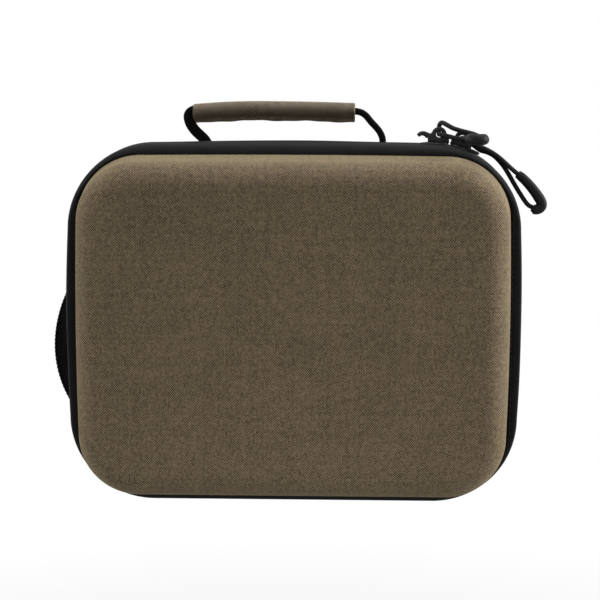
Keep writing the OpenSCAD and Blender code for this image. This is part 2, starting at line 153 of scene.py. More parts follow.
RIGHT_CORD_ROUTE = [
    [30.9, 0, -19.5], [27.84, 0, -16.93], [25.2, -0.6, -14.6], [21.6, -1.2, -11.4], [17.4, -1.7, -8.3],
    [12.6, -2.3, -5.7], [7.5, -2.9, -3.5], [3.2, -3.3, -1.2], [0.8, -2.8, -0.1], [0, -1.1, 0], [0, 1.1, 0],
    [0.8, 2.8, -0.1], [3.2, 3.3, -1.4], [7.2, 2.9, -4.6], [10.6, 2.4, -6.9], [14, 1.9, -7.8],
    [18, 1.7, -9.9], [22.2, 1.5, -14.1], [25.6, 1.4, -19], [28.7, 1.2, -24.2], [32.4, 0.8, -30.2],
    [37, 0, -36.63], [39.6, 0, -38.15],
]
RIGHT_GRIP_ROUTE = [
    [30.9, 0, -19.5], [34.6, 0, -22.6], [38.4, 0, -26.6], [41.9, 0, -31.1], [44.4, 0, -35.25],
    [44.5, 0, -37.25], [43.2, 0, -38.75], [41.3, 0, -39.15], [39.6, 0, -38.15],
]


# Small tools for shapes

TUBE = (False, True)
MERGE_WITHIN, SLIVER = 1e-6, 1e-7
SHARP_DEG = 50


def unit(v):
    """Vectors divided by their own length."""
    return v / np.linalg.norm(v, axis=-1, keepdims=True)


def ease(t):
    """A step from 0 to 1 that starts and ends level: three squares less two cubes."""
    return t * t * (3 - 2 * t)


def arc(x, y, r, start, end, steps):
    """Points on a circle of radius r about (x, y), between two angles in degrees."""
    a = np.radians(np.linspace(start, end, steps))
    return np.stack([x + r * np.cos(a), y + r * np.sin(a)], -1)


def oval(half_side, half_other, sides=16, power=2.0):
    """A closed ring: a circle whose cosine and sine are raised to 2 / power, so a higher power is boxier."""
    a = np.linspace(0, 2 * np.pi, sides, endpoint=False)
    bend = 2 / power
    return np.stack([half_side * np.sign(np.cos(a)) * np.abs(np.cos(a)) ** bend,
                     half_other * np.sign(np.sin(a)) * np.abs(np.sin(a)) ** bend], -1)


def lengths(points):
    """Length along a line of points, from its first point to each of them."""
    return np.concatenate([[0], np.cumsum(np.linalg.norm(np.diff(points, axis=0), axis=-1))])


def girth(ring):
    """Length round a closed ring, from its first point to each of them and back to the first."""
    return lengths(np.vstack([ring, ring[:1]]))


def uv_map(along, around):
    """A UV grid that pairs every length along with every length around."""
    return np.stack(np.meshgrid(along, around, indexing="ij"), -1)


def left_normal(line):
    """Directions square to a flat line of points, on its left."""
    heading = unit(np.gradient(line, axis=0))
    return np.stack([-heading[:, 1], heading[:, 0]], -1)


def smooth_route(route, steps=8):
    """A smooth line through every point of a route: cubic stretches that each take as long as the square root
    of their length. The slope at a point is the mean of its two stretches' slopes, where each counts by the
    time that the other takes, so a long stretch doesn't swing out."""
    p = np.array(route, float)
    p = np.vstack([2 * p[0] - p[1], p, 2 * p[-1] - p[-2]])
    step = np.diff(p, axis=0)
    time = np.sqrt(np.linalg.norm(step, axis=1))[:, None]
    before, after = time[:-1], time[1:]
    slope = (step[:-1] / before * after + step[1:] / after * before) / (before + after)
    start, end, time = p[1:-2, None], p[2:-1, None], time[1:-1, None]
    leave, arrive = slope[:-1, None] * time, slope[1:, None] * time
    t = np.linspace(0, 1, steps, endpoint=False)[None, :, None]
    line = start * (1 - ease(t)) + end * ease(t) + leave * t * (1 - t) ** 2 - arrive * t * t * (1 - t)
    return np.vstack([line.reshape(-1, p.shape[1]), p[-2]])


def square_to(path, first):
    """Two directions square to a path. One is carried along the path by taking away, at each point, its part
    along the new heading, and the other is square to both."""
    heading = unit(np.gradient(path, axis=0))
    carried = accumulate(heading, lambda n, t: unit(n - (n @ t) * t), initial=np.array(first, float))
    side = np.array(list(carried)[1:])
    return side, np.cross(heading, side)


class Shape:
    """Collects surfaces into one mesh. Each surface is a grid of points."""

    def __init__(self):
        self.points, self.faces, self.uvs, self.count = [], [], [], 0

    def grid(self, points, uv, wrap=(False, False)):
        """Adds an (n, m, 3) grid: each point and its next ones both ways make a face, and a wrapped way
        closes on itself. The uv grid has one more row for a way that wraps."""
        n, m = points.shape[:2]
        i, j = np.meshgrid(np.arange(n - 1 + wrap[0]), np.arange(m - 1 + wrap[1]), indexing="ij")
        rows = np.stack([i, i + 1, i + 1, i], -1).reshape(-1, 4)
        columns = np.stack([j, j, j + 1, j + 1], -1).reshape(-1, 4)
        self.faces.append(self.count + rows % n * m + columns % m)
        self.uvs.append(uv[rows, columns].reshape(-1, 2))
        self.points.append(points.reshape(-1, 3))
        self.count += n * m
        return self

    def closed_tube(self, rings, along, around):
        """Adds a tube of rings, with one more ring at each end that is shrunk to that end's middle."""
        ends = np.broadcast_to(rings[[0, -1]].mean(1, keepdims=True), (2,) + rings.shape[1:])
        points = np.concatenate([ends[:1], rings, ends[1:]])
        along = np.concatenate([along[:1], along, along[-1:]])
        return self.grid(points, uv_map(along, around), TUBE)

    def tube(self, path, ring, first, scale=1.0):
        """Carries a closed ring of (side, other) distances along a path, times a scale at each point."""
        side, other = square_to(path, first)
        ring = np.broadcast_to(ring, (len(path),) + ring.shape[-2:]) * np.reshape(scale, (-1, 1, 1))
        points = path[:, None] + ring[..., :1] * side[:, None] + ring[..., 1:] * other[:, None]
        return self.closed_tube(points, lengths(path), girth(ring[len(path) // 2]))

    def build(self, name):
        """The object: equal points are merged, and every closed surface faces outwards."""
        points, faces = np.concatenate(self.points), np.concatenate(self.faces)
        mesh = bpy.data.meshes.new(name)
        mesh.vertices.add(len(points))
        mesh.vertices.foreach_set("co", points.astype(np.float32).ravel())
        mesh.loops.add(faces.size)
        mesh.loops.foreach_set("vertex_index", faces.astype(np.int32).ravel())
        mesh.polygons.add(len(faces))
        mesh.polygons.foreach_set("loop_start", np.arange(0, faces.size, 4, dtype=np.int32))
        mesh.update(calc_edges=True)
        layer = mesh.uv_layers.new(name="UVMap")
        layer.uv.foreach_set("vector", np.concatenate(self.uvs).astype(np.float32).ravel())
        solid = bmesh.new()
        solid.from_mesh(mesh)
        bmesh.ops.remove_doubles(solid, verts=solid.verts, dist=MERGE_WITHIN)
        bmesh.ops.dissolve_degenerate(solid, edges=solid.edges, dist=SLIVER)
        bmesh.ops.recalc_face_normals(solid, faces=solid.faces)
        solid.to_mesh(mesh)
        solid.free()
        mesh.polygons.foreach_set("use_smooth", np.ones(len(mesh.polygons), bool))
        mesh.set_sharp_from_angle(angle=math.radians(SHARP_DEG))
        thing = bpy.data.objects.new(name, mesh)
        bpy.context.scene.collection.objects.link(thing)
        return thing


class Rim:
    """A rounded rectangle that stands in X and Z. Its core is the rectangle of the corners' axes, and a point
    of it is a core point plus a radius along the outward normal. Lengths run from the middle of the bottom
    edge and up the right side."""

    def __init__(self, width, height, radius):
        a, b, quarter = width - 2 * radius, height - 2 * radius, np.pi * radius / 2
        self.radius, self.half = radius, np.array([width / 2, height / 2])
        self.marks = np.cumsum([0, a / 2, quarter, b, quarter, a, quarter, b, quarter, a / 2])
        self.length = self.marks[-1]
        self.start, self.end = self.marks[1], self.marks[8]
        self.core_x = np.array([0, 1, 1, 1, 1, -1, -1, -1, -1, 0]) * a / 2
        self.core_z = np.array([-1, -1, -1, 1, 1, 1, 1, -1, -1, -1]) * b / 2
        self.turns = np.radians([0, 0, 90, 90, 180, 180, 270, 270, 360, 360])

    def at(self, s):
        """Core points and outward normals at lengths s."""
        turn = np.interp(s, self.marks, self.turns)
        core_x, core_z = np.interp(s, self.marks, self.core_x), np.interp(s, self.marks, self.core_z)
        core = MIDDLE + np.stack([core_x, 0 * turn, core_z], -1)
        return core, np.stack([np.sin(turn), 0 * turn, -np.cos(turn)], -1)

    def corner(self, s):
        """0 on the straight edges, rising to 1 in the middle of each corner."""
        return np.sin(2 * np.interp(s, self.marks, self.turns)) ** 2

    def crown(self, s, top, sides):
        """Outward bow of the top edge and of the two sides, as a value at their middle that falls as a
        parabola to 0 at the corners. The bottom edge stays flat."""
        core, normal = self.at(s)
        reach = np.maximum(self.half - self.radius, MM)
        bow = 1 - (core - MIDDLE)[:, [0, 2]] ** 2 / reach ** 2
        return top * bow[:, 0] * normal[:, 2].clip(0) ** 4 + sides * bow[:, 1] * np.abs(normal[:, 0]) ** 4

    def off_the_ground(self, s):
        """1 round the top and the sides, falling to 0 along the bottom edge."""
        return 1 - (-self.at(s)[1][:, 2]).clip(0) ** 4

    def outside(self, points):
        """Distance of points outside the rounded rectangle, negative inside."""
        q = np.abs((points - MIDDLE)[..., [0, 2]]) - (self.half - self.radius)
        return np.linalg.norm(np.maximum(q, 0), axis=-1) + np.minimum(q.max(-1), 0) - self.radius

    def carry(self, s, out, depth):
        """Points beside the rim: out is added to the radius, and depth is their Y."""
        core, normal = self.at(s)
        out, depth = np.broadcast_arrays(out, depth)
        return core[:, None] + (self.radius + out)[..., None] * normal[:, None] + depth[..., None] * BACK


CREST = Rim(CASE_W, CASE_H, CORNER_R)
SHELL = Rim(SHELL_W, SHELL_H, SHELL_R)
SKIN = Rim(SHELL_W, SHELL_H, SKIN_R)


def wave(s, period, seed):
    """A slow unevenness between about -1 and 1: three sines that close on themselves over the period."""
    turns = np.array([5, 8, 13]) + seed % 3
    phases = np.array([0.3, 2.1, 4.4]) * (seed + 1)
    return np.sin(2 * np.pi * s[..., None] / period * turns + phases) @ np.array([0.5, 0.3, 0.2])


# Nodes of a finish

def math_node(operation, reflected=False):
    """A method of Flow that adds one Math node. The flow is its first value, or its last if reflected."""
    def method(self, *others):
        values = (*others, self) if reflected else (self, *others)
        return self.nodes.node("ShaderNodeMath", {"operation": operation}, dict(enumerate(values)))
    return method


class Flow:
    """A socket in a tree of nodes. Sums, differences, products, quotients and powers add Math nodes."""

    def __init__(self, nodes, socket):
        self.nodes, self.socket = nodes, socket

    __add__, __radd__ = math_node("ADD"), math_node("ADD", True)
    __sub__, __rsub__ = math_node("SUBTRACT"), math_node("SUBTRACT", True)
    __mul__, __rmul__ = math_node("MULTIPLY"), math_node("MULTIPLY", True)
    __truediv__, __rtruediv__ = math_node("DIVIDE"), math_node("DIVIDE", True)
    __pow__, __rpow__ = math_node("POWER"), math_node("POWER", True)
    fract, floor, sine = math_node("FRACT"), math_node("FLOOR"), math_node("SINE")
    above, most, least = math_node("GREATER_THAN"), math_node("MAXIMUM"), math_node("MINIMUM")

    def share(self):
        """The flow, kept between 0 and 1."""
        return self.most(0.0).least(1.0)

    def bulge(self):
        """A half sine over each whole step of the flow."""
        return (self.fract() * np.pi).sine()


class Nodes:
    """A tree of shader nodes."""

    def __init__(self, tree):
        self.tree = tree

    def fill(self, node, socket, value):
        """Links a flow to a socket of a node, or sets the socket to a plain value."""
        if isinstance(value, Flow):
            self.tree.links.new(value.socket, node.inputs[socket])
        else:
            node.inputs[socket].default_value = value

    def node(self, kind, settings=None, values=None, output=0):
        """Adds a node: its settings first, then a value or a flow for each socket. Gives one output."""
        node = self.tree.nodes.new(kind)
        for name, setting in (settings or {}).items():
            setattr(node, name, setting)
        for socket, value in (values or {}).items():
            self.fill(node, socket, value)
        return Flow(self, node.outputs[output])

    def seen(self):
        """1 for a ray from the camera, off a gloss or through glass, and 0 for any other."""
        kinds = ("Is Camera Ray", "Is Glossy Ray", "Is Transmission Ray")
        camera, gloss, glass = (self.node("ShaderNodeLightPath", output=kind) for kind in kinds)
        return camera.most(gloss).most(glass)


class Finish(Nodes):
    """A material that is built up from nodes round one Principled shader."""

    def __init__(self, name, **constants):
        self.material = bpy.data.materials.new(name)
        self.material.use_nodes = True
        super().__init__(self.material.node_tree)
        self.shader = self.tree.nodes["Principled BSDF"]
        for socket, value in constants.items():
            self.feed(socket.replace("_", " "), value)

    def feed(self, socket, value):
        """Gives a socket of the shader a flow or a plain value."""
        self.fill(self.shader, socket, value)

    def paint(self, share, low, high):
        """Gives the shader a colour between two colours."""
        mixed = self.node("ShaderNodeMix", {"data_type": "RGBA"}, {0: share, 6: low, 7: high}, output=2)
        self.feed("Base Color", mixed)

    def bump(self, height, depth, strength):
        """Bends the shader's normal by a height that is worth depth metres."""
        bent = self.node("ShaderNodeBump", values={"Height": height, "Distance": depth, "Strength": strength})
        self.feed("Normal", bent)

    def place(self, kind="Object"):
        """Object or UV coordinates."""
        return self.node("ShaderNodeTexCoord", output=kind)

    def parts(self, vector):
        """The three numbers of a vector."""
        node = self.node("ShaderNodeSeparateXYZ", values={0: vector}).socket.node
        return [Flow(self, output) for output in node.outputs]

    def cloth(self):
        """Lengths along and across the piece's UV map, in metres."""
        along, across, _ = self.parts(self.place("UV"))
        return along, across

    def noise(self, vector, scale, detail=3.0, rough=0.55):
        """Soft noise about 0.5, with scale as its number of lumps in a metre."""
        values = {"Vector": vector, "Scale": scale, "Detail": detail, "Roughness": rough}
        return self.node("ShaderNodeTexNoise", values=values)

    def speckle(self, *numbers):
        """A random number for each set of whole numbers."""
        joined = self.node("ShaderNodeCombineXYZ", values=dict(enumerate(numbers)))
        return self.node("ShaderNodeTexWhiteNoise", {"noise_dimensions": "3D"}, {"Vector": joined})


def rgb(r, g, b):
    """A colour with no see-through."""
    return (r, g, b, 1.0)


def grey(level, blue):
    """A grey whose blue has a level of its own."""
    return rgb(level, level, blue)


def woven(finish, along, across, pitch):
    """Plain weave: in each square cell the warp or the weft is on top by turns, and the top thread is a half
    sine across its width that also dips at the cell's two ends. Gives its height, a number for the thread,
    and 1 where the warp is on top."""
    u, v = along / pitch, across / pitch
    round_u, round_v = u.bulge(), v.bulge()
    warp_on_top = ((u.floor() + v.floor()) * 0.5).fract().above(0.25)
    warp, weft = round_u ** 0.7 * (round_v * 0.5 + 0.5), round_v ** 0.7 * (round_u * 0.5 + 0.5)
    height = warp * warp_on_top + weft * (1 - warp_on_top)
    thread = finish.speckle(u.floor() * warp_on_top, v.floor() * (1 - warp_on_top), warp_on_top)
    return height, thread, warp_on_top


def corner_tightness(finish):
    """How much flatter the weave is where the canvas is pulled round a corner of the shell: the product of
    three shares, far out in X, far out in Z and off the face in Y, times the most that it may be."""
    most = 0.75
    x, y, z = finish.parts(finish.place())
    z = z - MIDDLE[2]
    far_x = (x * x / (SHELL_W / 2) ** 2 * 3 - 1.1).share()
    far_z = (z * z / (SHELL_H / 2) ** 2 * 3 - 0.7).share()
    off_face = ((y * y / HALF_DEPTH ** 2 - 0.85) * -5).share()
    return far_x * far_z * off_face * most


def canvas_finish(name, dark, light, pitch, sheen):
    """Woven canvas: a pale warp that shows as staggered dots over a dark weft. Its threads wander by a few
    pitches, and its weave is flatter in the tight corners. Its shade is a sum of the relief, a number for
    each thread and each dot, a soft mottle and the threads' thick places. It has a fuzzy sheen."""
    finish = Finish(name, Sheen_Weight=sheen, Sheen_Roughness=0.45, Sheen_Tint=rgb(0.9, 0.78, 0.42),
                    Specular_IOR_Level=0.2)
    place, wander_reach = finish.place(), 2.6 * pitch
    mean_height, mean_pale = 0.59, 0.5
    along, across = finish.cloth()
    wander = finish.node("ShaderNodeTexNoise", values={"Vector": place, "Scale": 130.0}, output="Color")
    along_wander, across_wander, _ = finish.parts(wander)
    along, across = along + along_wander * wander_reach, across + across_wander * wander_reach
    height, thread, pale = woven(finish, along, across, pitch)
    dot = finish.speckle((along / pitch).floor(), (across / pitch).floor(), 7.0)
    mottle, slub = finish.noise(place, 28.0), finish.noise(place, 420.0, 2.0)
    tight = corner_tightness(finish)
    height = height + (mean_height - height) * tight
    pale = pale + (mean_pale - pale) * tight
    relief = (height * 0.8 + 0.12) * (pale * 0.76 + 0.12)
    shade = relief * 1.15 + thread * 0.12 + dot * 0.38 - 0.13 + (mottle - 0.5) * 0.2 + (slub - 0.5) * 0.3
    finish.paint(shade.share(), dark, light)
    finish.feed("Roughness", 0.95 - height * 0.12)
    finish.bump(height + slub * 0.3, 0.18 * MM, 0.7)
    return finish.material


def binding_finish():
    """Smooth coated binding: near black with a fine leather grain, scuffed a little paler here and there."""
    finish = Finish("binding_coated", Specular_IOR_Level=0.06)
    place = finish.place()
    grain, scuff = finish.noise(place, 2600.0, 2.0), finish.noise(place, 60.0, 4.0, 0.6)
    finish.paint((scuff - 0.35).most(0.0) * 1.6, grey(0.0105, 0.011), grey(0.02, 0.0205))
    finish.feed("Roughness", scuff * 0.2 + 0.5)
    finish.bump(grain, 0.05 * MM, 0.5)
    return finish.material


def tape_finish():
    """Zip tape: a tight plain weave, dark in its hollows, with a shade for each thread."""
    finish = Finish("zip_tape_woven", Roughness=0.85, Sheen_Weight=0.03, Specular_IOR_Level=0.08)
    height, thread, _ = woven(finish, *finish.cloth(), 0.55 * MM)
    finish.paint(height * 0.6 + thread * 0.4, grey(0.004, 0.0045), grey(0.014, 0.015))
    finish.bump(height, 0.12 * MM, 0.7)
    return finish.material


def webbing_finish():
    """Ribbed webbing: cords across the strap, each a half sine, with the warp's threads running over them."""
    rib_pitch, thread_pitch = 1.1 * MM, 0.5 * MM
    finish = Finish("webbing_ribbed", Roughness=0.8, Sheen_Weight=0.01, Specular_IOR_Level=0.03)
    along, across = finish.cloth()
    height = (along / rib_pitch).bulge() * 0.65 + (across / thread_pitch).bulge() * 0.35
    tone = finish.noise(finish.place(), 700.0, 2.0)
    finish.paint(height * 0.5 + tone * 0.5, grey(0.002, 0.002), grey(0.009, 0.0094))
    finish.bump(height, 0.25 * MM, 0.8)
    return finish.material


def cord_finish():
    """Braided cord: two sets of strands that cross at a slant, so the height is the product of two sines."""
    strands, slant = 3, 2300.0
    finish = Finish("cord_braided", Roughness=0.7, Sheen_Weight=0.02, Specular_IOR_Level=0.12)
    along, across = finish.cloth()
    climb, turn = along * slant, across * (2 * strands / CORD_D)
    height = (climb + turn).sine() * (climb - turn).sine() * 0.5 + 0.5
    finish.paint(height, grey(0.004, 0.004), grey(0.02, 0.021))
    finish.bump(height, 0.18 * MM, 0.8)
    return finish.material


def grip_finish():
    """Soft moulded grip: dark grey rubber with a fine spark-eroded texture."""
    finish = Finish("grip_moulded", Specular_IOR_Level=0.1)
    place = finish.place()
    grain, cloud = finish.noise(place, 3800.0, 2.0), finish.noise(place, 160.0)
    finish.paint(cloud, grey(0.006, 0.0063), grey(0.014, 0.0145))
    finish.feed("Roughness", cloud * 0.2 + 0.4)
    finish.bump(grain, 0.04 * MM, 0.6)
    return finish.material


def slider_finish():
    """Painted casting: black paint with an orange-peel bump, and faint wear where the noise peaks."""
    finish = Finish("slider_painted", Metallic=0.6, Specular_IOR_Level=0.2)
    place = finish.place()
    peel = finish.noise(place, 1600.0, 2.0)
    wear = (finish.noise(place, 520.0, 4.0, 0.7) - 0.6) * 4.0
    finish.paint(wear.share(), grey(0.02, 0.021), grey(0.12, 0.125))
    finish.feed("Roughness", 0.32 + peel * 0.14)
    finish.bump(peel, 0.03 * MM, 0.5)
    return finish.material


def coil_finish():
    """Nylon coil: black and half glossy, with a cloudy tone."""
    finish = Finish("coil_nylon", Specular_IOR_Level=0.2)
    tone = finish.noise(finish.place(), 900.0, 2.0)
    finish.paint(tone, grey(0.009, 0.01), grey(0.028, 0.03))
    finish.feed("Roughness", tone * 0.2 + 0.28)
    return finish.material


def lining_finish():
    """Fire-resistant lining: a tight glass-fibre weave under a silvery coating, slightly creased."""
    finish = Finish("lining_coated", Metallic=0.35, Specular_IOR_Level=0.5)
    height, thread, _ = woven(finish, *finish.cloth(), 0.9 * MM)
    crease = finish.noise(finish.place(), 45.0, 4.0, 0.6)
    finish.paint(height * 0.5 + thread * 0.2 + crease * 0.3, rgb(0.2, 0.205, 0.21), rgb(0.5, 0.51, 0.52))
    finish.feed("Roughness", crease * 0.3 + 0.32)
    finish.bump(height + crease * 1.2, 0.15 * MM, 0.6)
    return finish.material


def foam_finish():
    """Moulded foam: black with closed cells that show as small pits."""
    finish = Finish("foam_moulded", Roughness=0.85, Specular_IOR_Level=0.25)
    cell_values = {"Vector": finish.place(), "Scale": 1800.0}
    cells = finish.node("ShaderNodeTexVoronoi", {"feature": "F1"}, cell_values)
    finish.paint(cells, grey(0.008, 0.009), grey(0.024, 0.026))
    finish.bump(cells, 0.1 * MM, 0.5)
    return finish.material


def thread_finish():
    """Sewing thread: two plies twisted together, so the height is a sine on a slant."""
    finish = Finish("thread_twisted", Roughness=0.6, Specular_IOR_Level=0.12)
    along, across = finish.cloth()
    ply = (along * 9000.0 + across * 6000.0).sine() * 0.5 + 0.5
    finish.paint(ply, grey(0.007, 0.008), grey(0.03, 0.031))
    finish.bump(ply, 0.08 * MM, 0.6)
    return finish.material


CANVAS = canvas_finish("canvas_olive", dark=rgb(0.02, 0.014, 0.0085), light=rgb(0.322, 0.243, 0.15),
                       pitch=0.7 * MM, sheen=0.2)
SLEEVE_CANVAS = canvas_finish("canvas_sleeve", dark=rgb(0.02, 0.0152, 0.01), light=rgb(0.325, 0.262, 0.195),
                              pitch=0.8 * MM, sheen=0.22)
BINDING, TAPE, WEBBING, CORD = binding_finish(), tape_finish(), webbing_finish(), cord_finish()
GRIP, SLIDER, COIL, LINING = grip_finish(), slider_finish(), coil_finish(), lining_finish()
FOAM, THREAD = foam_finish(), thread_finish()


def clothe(shape, name, material, slot, *nodes):
    """Builds a piece, gives it its finish and hides the CAD nodes that it stands for. Its slot is not used.
    """
    piece = shape.build(name)
    piece.data.materials.append(material)
    if nodes:
        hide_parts(*nodes)
    return piece


def dress(shape, name, material, body, slot, *nodes):
    """Builds and clothes a piece that rides on one body."""
    piece = clothe(shape, name, material, slot, *nodes)
    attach(piece, body)
    return piece


# Shells

CANVAS_UNEVEN, LINING_UNEVEN = 0.1 * MM, 0.25 * MM
SKIN_BOW_TOP, SKIN_BOW_SIDES, SKIN_BOW_FROM = 0.7 * MM, 1.2 * MM, 20 * MM


def wall_line(rim, inset, foot, fine):
    """The line of a shell's wall at a distance inside its outer face, from the middle of the face outwards to
    the foot: the share of the rim's core that is kept, the radius about it, the depth, and the radius that
    the wall would have if the cloth were unfolded flat."""
    least_rho, edge_rho = 2 * MM, rim.radius - EDGE_STEP
    face_rho = np.linspace(least_rho, edge_rho, 5 * fine)
    middle_keep = np.linspace(0, 1, 10 * fine, endpoint=False)
    edge = arc(edge_rho, EDGE_DEPTH, EDGE_R - inset, 90, math.degrees(LEAN), 12 * fine)[1:]
    foot_rho = rim.radius - inset / math.cos(LEAN) - (foot - SKIN_FOOT) * math.tan(LEAN)
    flank = np.linspace(edge[-1], (foot_rho, foot), 8 * fine)[1:]
    face_depth = np.full(len(middle_keep) + len(face_rho), HALF_DEPTH - inset)
    rho = np.concatenate([np.full(len(middle_keep), least_rho), face_rho, edge[:, 0], flank[:, 0]])
    depth = np.concatenate([face_depth, edge[:, 1], flank[:, 1]])
    keep = np.concatenate([middle_keep, np.ones(len(rho) - len(middle_keep))])
    bend = lengths(np.vstack([(edge_rho, HALF_DEPTH - inset), edge, flank]))[1:]
    unfolded = np.concatenate([rho[:len(rho) - len(bend)], edge_rho + bend])
    return keep, rho, depth, unfolded


def face_swell(x, z):
    """Soft unevenness of a face: a product of two slow sines, and half of a third one on a slant."""
    return np.sin(x * 31 + 1.3) * np.sin(z * 37 + 0.4) + 0.5 * np.sin(x * 67 + z * 53)


def shell_skin(rim, side, inset, thickness, foot, uneven, bowed):
    """One layer of a shell: its wall line carried round its rim, outside and inside, with the straight edges
    bowed by a share and the face slightly uneven. The UV map is the cloth unfolded flat, in metres. In the
    corners its radius is the mean, in their logarithms, of the unfolded and the real one."""
    s = np.linspace(0, rim.length, 480, endpoint=False)
    outer, inner = wall_line(rim, inset, foot, 2), wall_line(rim, inset + thickness, foot, 1)
    keep, rho, depth, unfolded = (np.concatenate([a, b[::-1]]) for a, b in zip(outer, inner))

    def spread_out(s, radius):
        """Points about the middle of the face: the kept share of the core and of the radius beside it."""
        core, normal = rim.at(s)
        return keep[None, :, None] * ((core - MIDDLE)[:, None] + radius[..., None] * normal[:, None])

    bow = bowed * rim.crown(s, SKIN_BOW_TOP, SKIN_BOW_SIDES)[:, None]
    flat = spread_out(s, rho + bow * np.clip((rho - SKIN_BOW_FROM) / SKIN_BOW_FROM, 0, 1))
    on_face = np.clip((depth - EDGE_DEPTH) / EDGE_R, 0, 1)
    y = depth + uneven * face_swell(flat[..., 0], flat[..., 2]) * on_face
    s_closed = np.append(s, rim.length)
    cloth = spread_out(s_closed, unfolded * (rho / unfolded) ** (0.5 * rim.corner(s_closed)[:, None]))
    return Shape().grid(MIDDLE + flat + side * y[..., None] * BACK, cloth[..., [0, 2]], (True, False))


def binding_reach(s):
    """How far the binding laps down to the shell: from the crest, steps along the normal, each as long as the
    distance that is left, until the shell's side is met."""
    core, normal = CREST.at(s)
    crest = core + CREST.radius * normal
    reach = np.zeros(len(s))
    for _ in range(12):
        reach += SKIN.outside(crest - reach[:, None] * normal)
    return reach


def binding_bead(side):
    """Edge binding: a folded strip carried round the rim. Its section starts at the shell with a low hem,
    rises over an elliptic shoulder, crosses the crest, turns in round its tip and comes back inside. Along
    the top the shoulder is wider and the crest sinks towards the zip. The strip bows out along the straight
    edges, is slightly uneven, and puckers at the corners."""
    shell_gap, least_leg, tip_r, crest_sink = 0.1 * MM, 0.4 * MM, 0.8 * MM, 0.9 * MM
    bow_top, bow_sides, pucker_pitch = 1.0 * MM, 1.3 * MM, 2.1 * MM
    s = np.linspace(0, CREST.length, 720, endpoint=False)
    each = np.ones((len(s), 1))
    reach = binding_reach(s)[:, None] - shell_gap
    top = CREST.at(s)[1][:, 2:].clip(0) ** 2
    shoulder_out = np.minimum((1.6 + 3.4 * top) * MM, reach - least_leg)
    shoulder_deep = (1.8 + 4.2 * top) * MM
    sink = crest_sink * top

    a = np.radians(np.linspace(95, 0, 14))
    leg_out, leg_y = shoulder_out * (np.cos(a) - 1), BINDING_Y1 - shoulder_deep * (1 - np.sin(a))
    hem = np.array([(0, SKIN_FOOT), (0, BINDING_Y1 - 1.4 * MM), (0.25 * MM, BINDING_Y1 - 0.85 * MM)])
    rise = np.linspace(0.2, 0.8, 4)
    rise_out = leg_out[:, :1] * rise - reach * (1 - rise)
    rise_y = hem[-1, 1] + (leg_y[:, :1] - hem[-1, 1]) * np.sin(rise * np.pi / 2)
    tip = arc(-tip_r, BINDING_Y0 + tip_r, tip_r, 0, -90, 8)
    inside = np.array([(-BINDING_T, BINDING_Y0 + 0.6 * MM), (-BINDING_T, SKIN_FOOT)])
    roll = np.vstack([tip, inside])
    across = np.linspace(0, 1, 8)[1:-1]
    crest_y = leg_y[:, -1:] * (1 - across) + tip[0, 1] * across
    out = np.concatenate([hem[:, 0] - reach, rise_out, leg_out, -sink * across ** 2, roll[:, 0] - sink], 1)
    y = np.concatenate([each * hem[:, 1], rise_y, leg_y, crest_y, each * roll[:, 1]], 1)

    uneven = CREST.off_the_ground(s) * 0.2 * MM * wave(s, CREST.length, 3 + side)
    swell = CREST.crown(s, bow_top, bow_sides) + uneven
    pucker = 0.1 * MM * CREST.corner(s) * np.sin(s / pucker_pitch)
    creep = pucker + 0.12 * MM * wave(s, CREST.length, 6 + side)
    out = out + swell[:, None] * np.clip((out + 6 * MM) / (5 * MM), 0, 1)
    y = y + creep[:, None] * np.sin(np.pi * np.clip(-out / (7 * MM), 0, 1))
    uv = uv_map(np.append(s, CREST.length), girth(np.stack([out[0], y[0]], -1)))
    return Shape().grid(CREST.carry(s, out, side * y), uv, (True, True))


def stitch_row(middle, heading, up, length, width):
    """Stitches: one small rounded bar at each place, a sphere stretched along the seam."""
    a, b = np.meshgrid(np.linspace(0, np.pi, 7), np.linspace(0, 2 * np.pi, 8, endpoint=False), indexing="ij")
    thin = np.sin(a) * width
    ball = np.stack([np.cos(a) * length, thin * np.cos(b), thin * np.sin(b)], -1) / 2
    uv = uv_map(np.linspace(0, length, 7), np.linspace(0, 3 * width, 9))
    shape = Shape()
    for m, h, c, u in zip(middle, heading, np.cross(heading, up), up):
        shape.grid(m + ball @ np.stack([h, c, u]), uv, TUBE)
    return shape


def binding_stitches(side):
    """The seam that holds the binding: stitches along its leg, just above the shell."""
    pitch, length, width = 3.4 * MM, 2.5 * MM, 0.55 * MM
    off_shell, sunk = 1.3 * MM, 0.42 * MM
    s = np.linspace(0, CREST.length, int(CREST.length / pitch), endpoint=False)
    _, normal = CREST.at(s)
    out = off_shell - binding_reach(s)[:, None]
    middle = CREST.carry(s, out, side * (BINDING_Y1 - sunk))[:, 0]
    up = np.broadcast_to(side * BACK, normal.shape)
    return stitch_row(middle, np.cross(normal, BACK), up, length, width)


def zip_strip(section, side, steps):
    """A strip along the zip: a closed section, as distances out from the crest and off the parting plane,
    carried round the rim from one end of the zip to the other."""
    s = np.linspace(CREST.start, CREST.end, steps)
    return Shape().closed_tube(CREST.carry(s, section[:, 0], side * section[:, 1]), s, girth(section))


def zip_tape(side):
    """Zip tape: a thin strip with an L-shaped section, sewn to the flange and turned to the other half."""
    bevel = 0.2 * MM
    outer, inner, root = -TAPE_DEPTH, -TAPE_DEPTH - TAPE_T, -TAPE_ROOT
    edge, fold = TAPE_LOW[1], TAPE_HIGH[1]
    section = np.array([(root, fold - TAPE_T), (inner, fold - TAPE_T), (inner, edge + bevel),
                        (inner + 1.5 * bevel, edge), (outer - bevel, edge), (outer, edge + bevel),
                        (outer, fold / 2), (outer, fold), (root, fold)])
    return zip_strip(section, side, 560)


